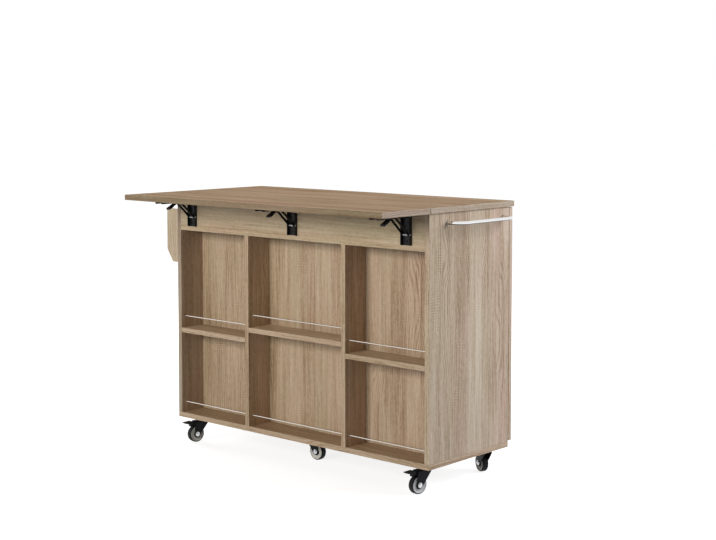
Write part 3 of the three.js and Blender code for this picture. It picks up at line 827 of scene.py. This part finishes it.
def add_lever_flanges():
    """The release levers' side edges are folded down, which stiffens them."""
    along = (0, -math.cos(LEVER_DROOP), -math.sin(LEVER_DROOP))
    flange = plate(rounded(LEVER_FLANGE, radius=1.5, steps=3), FLANGE_SHEET, edge=0.3)
    for side in SIDES:
        pivot = joint_point(f"lever_press_{side}")
        middle = middle_mm(f"release_lever_{side}")[0]
        shells = [
            turned(flange, along, (-1, 0, 0), (middle + edge, pivot[1], pivot[2]))
            for edge in (FLANGE_SHEET - LEVER_HALF, LEVER_HALF)
        ]
        make(f"release_lever_flanges_{side}", shells, BLACK_STEEL, f"lever_{side}")


# Heads as (radius, height), from rim to crown. The screw's crown has a round recess.
PIN_HEAD = [(3.4, 0.0), (3.2, 0.35), (2.4, 0.95), (1.2, 1.4), (0.2, 1.5)]
SCREW_HEAD = [(4.0, 0.0), (3.9, 0.4), (3.2, 1.1), (2.0, 1.5), (1.9, 1.5), (1.7, 0.7), (0.1, 0.6)]


def head(profile, origin, axis, across):
    """A head on a face: its profile turned about the axis."""
    return turned(lathe(profile, sides=28), across, axis, origin)


PLATE_SHEET = 1.5
PIN_HEAD_SINK = 1.0
# The sleeve round the foot pin, as (radius, place along the pin).
BRACE_SLEEVE = [(4.1, -9.0), (4.2, -8.8), (4.2, 8.8), (4.1, 9.0)]
# The wall plate's screws: sideways from its middle, and height above the floor.
PLATE_SCREWS = [(0, 809), (-8, 856), (8, 870)]


def add_bracket_fasteners():
    """Bright heads on the two pins of each wall plate, a bright sleeve and the wood screws."""
    hinge = joint_point("leaf_fold")
    for side in SIDES:
        low, high = box_mm(f"bracket_plate_{side}")
        middle = (low[0] + high[0]) / 2
        reach = (high[0] - low[0]) / 2 - PIN_HEAD_SINK
        foot = joint_point(f"brace_turn_{side}")
        heads = [
            head(PIN_HEAD, (middle + sign * reach, y, z), (sign, 0, 0), UP)
            for _, y, z in (hinge, foot) for sign in (-1, 1)
        ]
        make(f"bracket_pin_heads_{side}", heads, PIN_STEEL, "cabinet")

        sleeve = turned(lathe(BRACE_SLEEVE, 32), UP, RIGHT, (middle, foot[1], foot[2]))
        make(f"brace_sleeve_{side}", [sleeve], PIN_STEEL, f"brace_{side}")

        screws = [
            head(SCREW_HEAD, (middle + x, high[1] - PLATE_SHEET, z), FORWARD, RIGHT)
            for x, z in PLATE_SCREWS
        ]
        make(f"plate_screws_{side}", screws, CASTER_BLACK, "cabinet")


# -------- rods, towel bar and knobs

ROD_CHAMFER = 0.4


def add_rods():
    """Straight bright wires, slightly chamfered at the ends that sit in their holes."""
    for name in (*(f"upper_rod_{side}" for side in SIDES), "lower_rod"):
        low, high = box_mm(name)
        radius = (high[2] - low[2]) / 2
        length = high[0] - low[0]
        tip = radius - ROD_CHAMFER
        profile = [(tip, 0), (radius, ROD_CHAMFER), (radius, length - ROD_CHAMFER), (tip, length)]
        rod = turned(lathe(profile, sides=24), UP, RIGHT, (low[0], *middle_mm(name)[1:]))
        make(f"{name}_wire", [rod], WIRE, "cabinet", [name])


BAR_CORNER = 38.0
BAR_SIDES = 40
# Clear of the panel, so that the bar's foot and its collar don't lie in the panel's face.
BAR_GAP = 0.2
COLLAR_GAP = 0.1
LEG_STEPS = 4
CORNER_STEPS = 16
COLLAR = [(6.9, 0.0), (6.9, 1.6), (6.6, 2.4), (6.05, 2.6)]


def add_towel_bar():
    """A round bar bent to a D, each end in a thin collar against the side panel.

    Half its path is a leg, a quarter circle and a third of the straight; the rest is its mirror.
    """
    low, high = box_mm("towel_bar")
    radius = (high[2] - low[2]) / 2
    z = (low[2] + high[2]) / 2
    wall = RIGHT_PANEL_HIGH[0]
    bend_start = high[0] - radius - BAR_CORNER
    first, last = low[1] + radius, high[1] - radius
    turn = quarter_turn(CORNER_STEPS + 1)
    leg = np.linspace(wall + BAR_GAP, bend_start, LEG_STEPS + 1)[:-1]
    third = BAR_CORNER + (last - first - 2 * BAR_CORNER) / 3
    out = np.concatenate([leg, bend_start + BAR_CORNER * np.sin(turn), [bend_start + BAR_CORNER]])
    inwards = np.concatenate([np.zeros(LEG_STEPS), BAR_CORNER * (1 - np.cos(turn)), [third]])
    x = np.concatenate([out, out[::-1]])
    y = np.concatenate([first + inwards, last - inwards[::-1]])
    bar = tube(np.column_stack([x, y, np.full(len(x), z)]), radius, UP, BAR_SIDES)
    make("towel_bar_tube", [bar], CHROME, "cabinet", ["towel_bar"])

    # The collars' dark steel also stands for painted shade where the bar's ends meet the panel.
    collar = lathe(COLLAR, BAR_SIDES)
    collars = [turned(collar, UP, RIGHT, (wall + COLLAR_GAP, end, z)) for end in (first, last)]
    make("towel_bar_collars", collars, PIN_STEEL, "cabinet")


# A knob as (radius, height above the door): foot ring, waisted neck and softly crowned head.
KNOB = [
    (9.4, 0.0), (10.0, 0.5), (10.0, 1.5), (9.2, 2.3), (7.4, 3.4), (6.3, 5.0), (5.8, 7.5), (6.0, 10.0),
    (7.4, 12.4), (10.2, 14.4), (13.0, 16.0), (14.6, 17.8), (15.0, 19.2), (14.8, 20.6), (13.9, 22.0),
    (11.6, 23.1), (8.0, 23.7), (4.0, 23.95), (0.5, 24.0),
]


def add_knobs():
    """Turned mushroom knobs, which ride on the doors and the drawers."""
    knob = lathe(KNOB, 64)
    bodies = {"left_door_knob": "door_left", "right_door_knob": "door_right"}
    bodies.update({f"{row}_drawer_knob": f"drawer_{row}" for row in DRAWERS})
    for node, body in bodies.items():
        x, _, z = middle_mm(node)
        shell = turned(knob, UP, BACKWARD, (x, box_mm(node)[0][1], z))
        make(f"{node}_turned", [shell], NICKEL, body, [node], sharp=60)


# -------- casters

class Caster:
    """A caster's places, with its level directions: ahead, from swivel to axle, and sideways."""

    def __init__(self, name):
        self.name = name
        self.swivel = joint_point(f"swivel_turn_{name}")
        self.axle = joint_point(f"wheel_roll_{name}")
        offset = (self.axle - self.swivel)[:2]
        self.trail = float(np.linalg.norm(offset))
        self.ahead = np.array([*offset / self.trail, 0.0])
        self.side = np.cross(UP, self.ahead)
        self.floor_point = np.array([*self.swivel[:2], 0.0])

    def upright(self, shell):
        """Lays a shell's X ahead and its zero on the floor under the swivel."""
        return turned(shell, self.ahead, UP, self.floor_point)

    def on_axle(self, shell):
        """Lays a shell's Z along the axle and its zero in the wheel's middle."""
        return turned(shell, UP, self.side, self.axle)


FORK_SHEET = 2.0
FORK_HALF = 14.0
FORK_COLUMNS = 9
BEND = 4.0
CROWN_TOP = 78.0
# The cheek's two edges, ahead of the swivel axis, at and above CHEEK_BOTTOM.
CROWN_FRONT, CROWN_BACK = -24.0, 30.0
CHEEK_BOTTOM = 70.0
LEG_END = 11.0
# The leg stops this far above its round end's lowest point, so that its tip has a width.
TIP_CUT = 0.03
# Where on the round end the leg's front edge meets it, from ahead by way of up.
ARC_START = math.radians(215)


def fork_sheet(trail, axle_height):
    """One sheet folded over the wheel: a U in y and z, cut in x to the leg's outline.

    Down a leg the cheek is full width to CHEEK_BOTTOM, tapers in straight lines and ends in an
    arc of radius LEG_END round the axle.
    """
    tip = axle_height - LEG_END + TIP_CUT
    leg_z = np.concatenate([
        tip + (axle_height - tip) * (1 - np.cos(quarter_turn(16))),
        np.linspace(axle_height, CHEEK_BOTTOM, 9)[1:],
        [(CHEEK_BOTTOM + CROWN_TOP - BEND) / 2],
    ])
    turn = quarter_turn(7)
    half_y = np.concatenate([np.full(len(leg_z), FORK_HALF), FORK_HALF - BEND + BEND * np.cos(turn)])
    half_z = np.concatenate([leg_z, CROWN_TOP - BEND + BEND * np.sin(turn)])
    y = np.concatenate([-half_y, half_y[::-1]])
    z = np.concatenate([half_z, half_z[::-1]])

    arc_z = axle_height + LEG_END * math.sin(ARC_START)
    arc_x = trail + LEG_END * math.cos(ARC_START)
    round_off = np.sqrt(np.maximum(LEG_END ** 2 - (z - axle_height) ** 2, 0))
    front = np.interp(z, [arc_z, CHEEK_BOTTOM], [arc_x, CROWN_FRONT])
    front = np.where(z < arc_z, trail - round_off, front)
    back = np.interp(z, [axle_height, CHEEK_BOTTOM], [trail + LEG_END, CROWN_BACK])
    back = np.where(z < axle_height, trail + round_off, back)

    x = front[:, None] + (back - front)[:, None] * np.linspace(0, 1, FORK_COLUMNS)
    y, z = (np.repeat(values[:, None], FORK_COLUMNS, axis=1) for values in (y, z))
    faces = grid_faces(len(x), FORK_COLUMNS, ring=False)
    return np.stack([x, y, z], axis=-1).reshape(-1, 3), faces


def add_fork(caster):
    folded = make(
        f"caster_fork_sheet_{caster.name}",
        [caster.upright(fork_sheet(caster.trail, caster.axle[2]))],
        CASTER_BLACK,
        f"swivel_{caster.name}",
        [f"caster_fork_{caster.name}"],
    )
    wall = folded.modifiers.new("sheet", "SOLIDIFY")
    wall.thickness = FORK_SHEET * MM
    wall.offset = -1
    round_edges(folded, width=0.4, angle=50)


# Both races of the swivel's balls, as (radius, height above the floor).
LOWER_RACE = [(14.6, 77.6), (15.2, 78.4), (15.2, 80.6), (14.4, 81.4), (8.0, 81.5)]
UPPER_RACE = [(14.0, 82.0), (17.2, 82.2), (18.0, 83.0), (18.0, 84.6), (17.0, 86.4), (10.0, 86.6)]


def add_lower_race(caster):
    race = [caster.upright(lathe(LOWER_RACE))]
    make(f"caster_lower_race_{caster.name}", race, CASTER_BLACK, f"swivel_{caster.name}")


# On each end of an axle, as (radius, distance from the fork): a washer and the axle's round tip.
WASHER = [(8.4, 0.0), (8.4, 0.7), (8.0, 1.0), (4.0, 1.0)]
AXLE_TIP = [(3.0, 0.0), (3.0, 4.0), (2.5, 4.5), (0.3, 4.6)]
NUT_LIFT = 0.8


def add_axle_ends(caster):
    """A washer, a hexagon nut and the axle's tip on the outside of each leg."""
    washer = lathe(WASHER, 32)
    nut = plate(polygon(sides=6, radius=6.2), thickness=3.0, edge=0.6)
    tip = lathe(AXLE_TIP, 24)
    ends = []
    for sign in (-1, 1):
        out = sign * caster.side
        face = caster.axle + out * FORK_HALF
        ends += [turned(washer, UP, out, face), turned(nut, UP, out, face + out * NUT_LIFT)]
        ends.append(turned(tip, UP, out, face))
    make(f"caster_axle_nuts_{caster.name}", ends, ZINC, f"swivel_{caster.name}")


# Half profiles of the wheel's three mouldings, as (radius, half width).
TYRE_HALF = [(30.0, 4.5), (29.9, 7.0), (29.5, 8.9), (28.6, 10.0), (27.4, 10.5), (26.4, 10.3)]
CORE_HALF = [
    (26.6, 9.9), (26.2, 10.6), (25.0, 10.7), (23.6, 10.4), (22.6, 9.6), (21.4, 9.1), (19.4, 9.0),
    (19.0, 9.4), (17.8, 9.4), (17.4, 9.0), (15.0, 9.0), (13.6, 9.3), (12.8, 9.5),
]
HUB_HALF = [(13.4, 8.0), (13.4, 10.3), (12.6, 11.1), (11.2, 11.5), (4.0, 11.5)]
# Each moulding's profile, sides and material, and whether it is open in its middle.
WHEEL_MOULDINGS = {
    "tyre": (TYRE_HALF, 72, TYRE, True),
    "core": (CORE_HALF, 64, WHEEL_CORE, True),
    "hub": (HUB_HALF, 48, HUB_BLACK, False),
}


def add_wheel(caster):
    """Tyre, core and hub, each a half profile and its mirror image turned about the axle."""
    for part, (half, sides, material, is_open) in WHEEL_MOULDINGS.items():
        other_half = [(radius, -height) for radius, height in reversed(half)]
        shell = caster.on_axle(lathe([*other_half, *half], sides, loop=is_open))
        replaced = [f"caster_wheel_{caster.name}"] if part == "tyre" else ()
        make(
            f"caster_{part}_{caster.name}", [shell], material,
            f"wheel_{caster.name}", replaced,
        )


MOUNT_HALF = 23.0
MOUNT_SHEET = 2.4
MOUNT_GAP = 0.1
MOUNT_SCREW_INSET = 5.5


def add_mount(caster):
    """The square top plate under the base board with the upper race, and its four screws."""
    x, y = caster.swivel[:2]
    underside = BASE_UNDERSIDE - MOUNT_GAP - MOUNT_SHEET
    square = rounded_plate(MOUNT_HALF, MOUNT_HALF, corner=5.0, sheet=MOUNT_SHEET, edge=0.4)
    shells = [
        turned(square, RIGHT, UP, (x, y, underside)),
        turned(lathe(UPPER_RACE), RIGHT, UP, caster.floor_point),
    ]
    make(f"caster_top_plate_{caster.name}", shells, CASTER_BLACK, "cabinet")

    reach = MOUNT_HALF - MOUNT_SCREW_INSET
    screws = [
        head(SCREW_HEAD, (x + right * reach, y + back * reach, underside), DOWN, RIGHT)
        for right in (-1, 1) for back in (-1, 1)
    ]
    make(f"caster_screws_{caster.name}", screws, ZINC, "cabinet")


def add_casters():
    for caster in map(Caster, CASTERS):
        for add in (add_fork, add_lower_race, add_axle_ends, add_wheel, add_mount):
            add(caster)


PEDAL_TRAVEL = math.radians(12)
PAD_ANGLES = np.radians(np.linspace(84, 45, 9))
PAD_RADIUS = 30.7
PAD_HALF = 8.5
# The pad's back against the pedal's underside, in x and z from the swivel axis and the floor.
PAD_BACK = [(47.0, 69.2), (40.0, 68.6), (27.0, 65.6)]


def add_brake_pads():
    """A rubber block under each pedal, whose underside is an arc that meets the tyre when pressed.

    The arc, of radius PAD_RADIUS round the axle, is worked out at the pressed pedal and turned
    back about the pedal's pivot by its travel.
    """
    c, s = math.cos(PEDAL_TRAVEL), math.sin(PEDAL_TRAVEL)
    arc = PAD_RADIUS * np.column_stack([np.cos(PAD_ANGLES), np.sin(PAD_ANGLES)])
    for name in BRAKED_CASTERS:
        caster = Caster(name)
        pivot = joint_point(f"pedal_press_{name}")
        flat_pivot = np.array([(pivot - caster.swivel) @ caster.ahead, pivot[2]])
        pressed = arc + (caster.trail, caster.axle[2]) - flat_pivot
        lifted = pressed @ np.array([[c, s], [-s, c]]) + flat_pivot
        block = plate(np.concatenate([lifted, PAD_BACK]), 2 * PAD_HALF, edge=0.6)
        origin = caster.floor_point + PAD_HALF * caster.side
        pad = turned(block, caster.ahead, -caster.side, origin)
        make(f"brake_pad_{name}", [pad], HUB_BLACK, f"pedal_{name}")


# -------- fittings inside the cupboard

SLIDE_GAP = 13.0
SLIDE_INSET = 2.0
# Height, depth and sheet of the two channels.
RAIL_CHANNEL = (36.0, 8.5, 1.2)
RUNNER_CHANNEL = (25.0, 8.0, 1.2)


def channel(height, depth, sheet):
    """Outline of a C: its web on x = 0, and two lips that reach to x = depth."""
    half = height / 2
    return [
        (0, -half), (depth, -half), (depth, sheet - half), (sheet, sheet - half),
        (sheet, half - sheet), (depth, half - sheet), (depth, half), (0, half),
    ]


def add_drawer_slides():
    """Two nested channels on each side of a drawer: the rail on the carcass, the runner on the box."""
    for row in DRAWERS:
        low, high = box_mm(f"{row}_drawer_box")
        start, z = low[1] + SLIDE_INSET, (low[2] + high[2]) / 2
        length = high[1] - low[1] - 2 * SLIDE_INSET
        rail = plate(channel(*RAIL_CHANNEL), length, edge=0.2)
        runner = plate(channel(*RUNNER_CHANNEL), length, edge=0.2)
        rails, runners = [], []
        for x, sign in ((low[0], -1), (high[0], 1)):
            rails.append(turned(rail, (-sign, 0, 0), BACKWARD, (x + sign * SLIDE_GAP, start, z)))
            runners.append(turned(runner, (sign, 0, 0), BACKWARD, (x, start, z)))
        make(f"drawer_rails_{row}", rails, ZINC, "cabinet")
        make(f"drawer_runners_{row}", runners, ZINC, f"drawer_{row}")


HINGE_FROM_END = 90.0
CUP_FROM_EDGE = 22.5
HINGE_SETBACK = 37.0
# A hinge's cup, as (radius, height above the door).
HINGE_CUP = [(17.5, 0.0), (17.5, 1.1), (16.6, 1.35), (15.6, 1.2), (14.8, 0.5), (1.0, 0.5)]
# A hinge's arm: from the carcass's front edge inwards, and away from the wall.
HINGE_ARM = [(20, 2), (60, 2), (60, 6), (30, 9.5), (6, 14), (1.5, 14), (1.5, 5)]
ARM_WIDTH = 15.0
FOOT_SHEET = 2.2
# A mount's screws: inwards and upwards from its middle, and out from the wall.
MOUNT_SCREWS = [(0, -19, FOOT_SHEET), (0, 19, FOOT_SHEET), (6, 0, 8.0)]


def hinge_cup(place):
    """A cup and its flange, let into the door at the place."""
    flange = rounded_plate(8, 30, corner=7.5, sheet=0.9, edge=0.3)
    return [turned(shell, RIGHT, FORWARD, place) for shell in (lathe(HINGE_CUP), flange)]


def hinge_mount(wall, sign, front, z):
    """An arm and its foot, screwed to a wall that faces to the sign's side."""
    off_wall = (sign, 0, 0)
    arm = plate(rounded(HINGE_ARM, radius=1.5, steps=3), ARM_WIDTH, edge=0.8)
    foot = rounded_plate(9, 26, corner=5.0, sheet=FOOT_SHEET, edge=0.5)
    middle = front - HINGE_SETBACK
    screws = [
        head(SCREW_HEAD, (wall + sign * out, middle - inwards, z + up), off_wall, UP)
        for inwards, up, out in MOUNT_SCREWS
    ]
    return [
        turned(arm, FORWARD, (0, 0, sign), (wall, front, z - sign * ARM_WIDTH / 2)),
        turned(foot, FORWARD, off_wall, (wall, middle, z)),
        *screws,
    ]


def add_door_hinges():
    """Two concealed hinges a door: the cups ride on the door, the arms stay on the wall."""
    front = RIGHT_PANEL_HIGH[1]
    walls = {"left": (box_mm("cabinet_partition")[1][0], 1), "right": (RIGHT_PANEL_LOW[0], -1)}
    for door, (wall, sign) in walls.items():
        low, high = box_mm(f"{door}_door")
        edge = low[0] if sign > 0 else high[0]
        cups, mounts = [], []
        for z in (low[2] + HINGE_FROM_END, high[2] - HINGE_FROM_END):
            cups += hinge_cup((edge + sign * CUP_FROM_EDGE, low[1], z))
            mounts += hinge_mount(wall, sign, front, z)
        make(f"hinge_cups_{door}", cups, ZINC, f"door_{door}")
        make(f"hinge_mounts_{door}", mounts, ZINC, "cabinet")


PIN_RADIUS = 2.5
PIN_INSET = 40
# A shelf pin as (radius, distance from the wall): its collar and its round-nosed peg.
SHELF_PIN = [(4.0, 0.0), (4.0, 1.0), (PIN_RADIUS, 1.2), (PIN_RADIUS, 8.4), (2.0, 9.0)]


def add_shelf_pins():
    """Four pins in the cupboard's walls, right under the shelf."""
    low, high = box_mm("cupboard_shelf")
    pin = lathe(SHELF_PIN, 24)
    pins = [
        turned(pin, UP, (sign, 0, 0), (x, y, low[2] - PIN_RADIUS))
        for x, sign in ((low[0], 1), (high[0], -1))
        for y in (low[1] + PIN_INSET, high[1] - PIN_INSET)
    ]
    make("shelf_pins", pins, ZINC, "cabinet")


# -------- the frame's looks, in order

aim_camera()
hang_softboxes()
light_world()
lay_floor()
finish_boards()
finish_steel()
add_lever_flanges()
add_bracket_fasteners()
add_rods()
add_towel_bar()
add_knobs()
add_casters()
add_brake_pads()
add_drawer_slides()
add_door_hinges()
add_shelf_pins()

bpy.context.scene.view_settings.view_transform = "Standard"
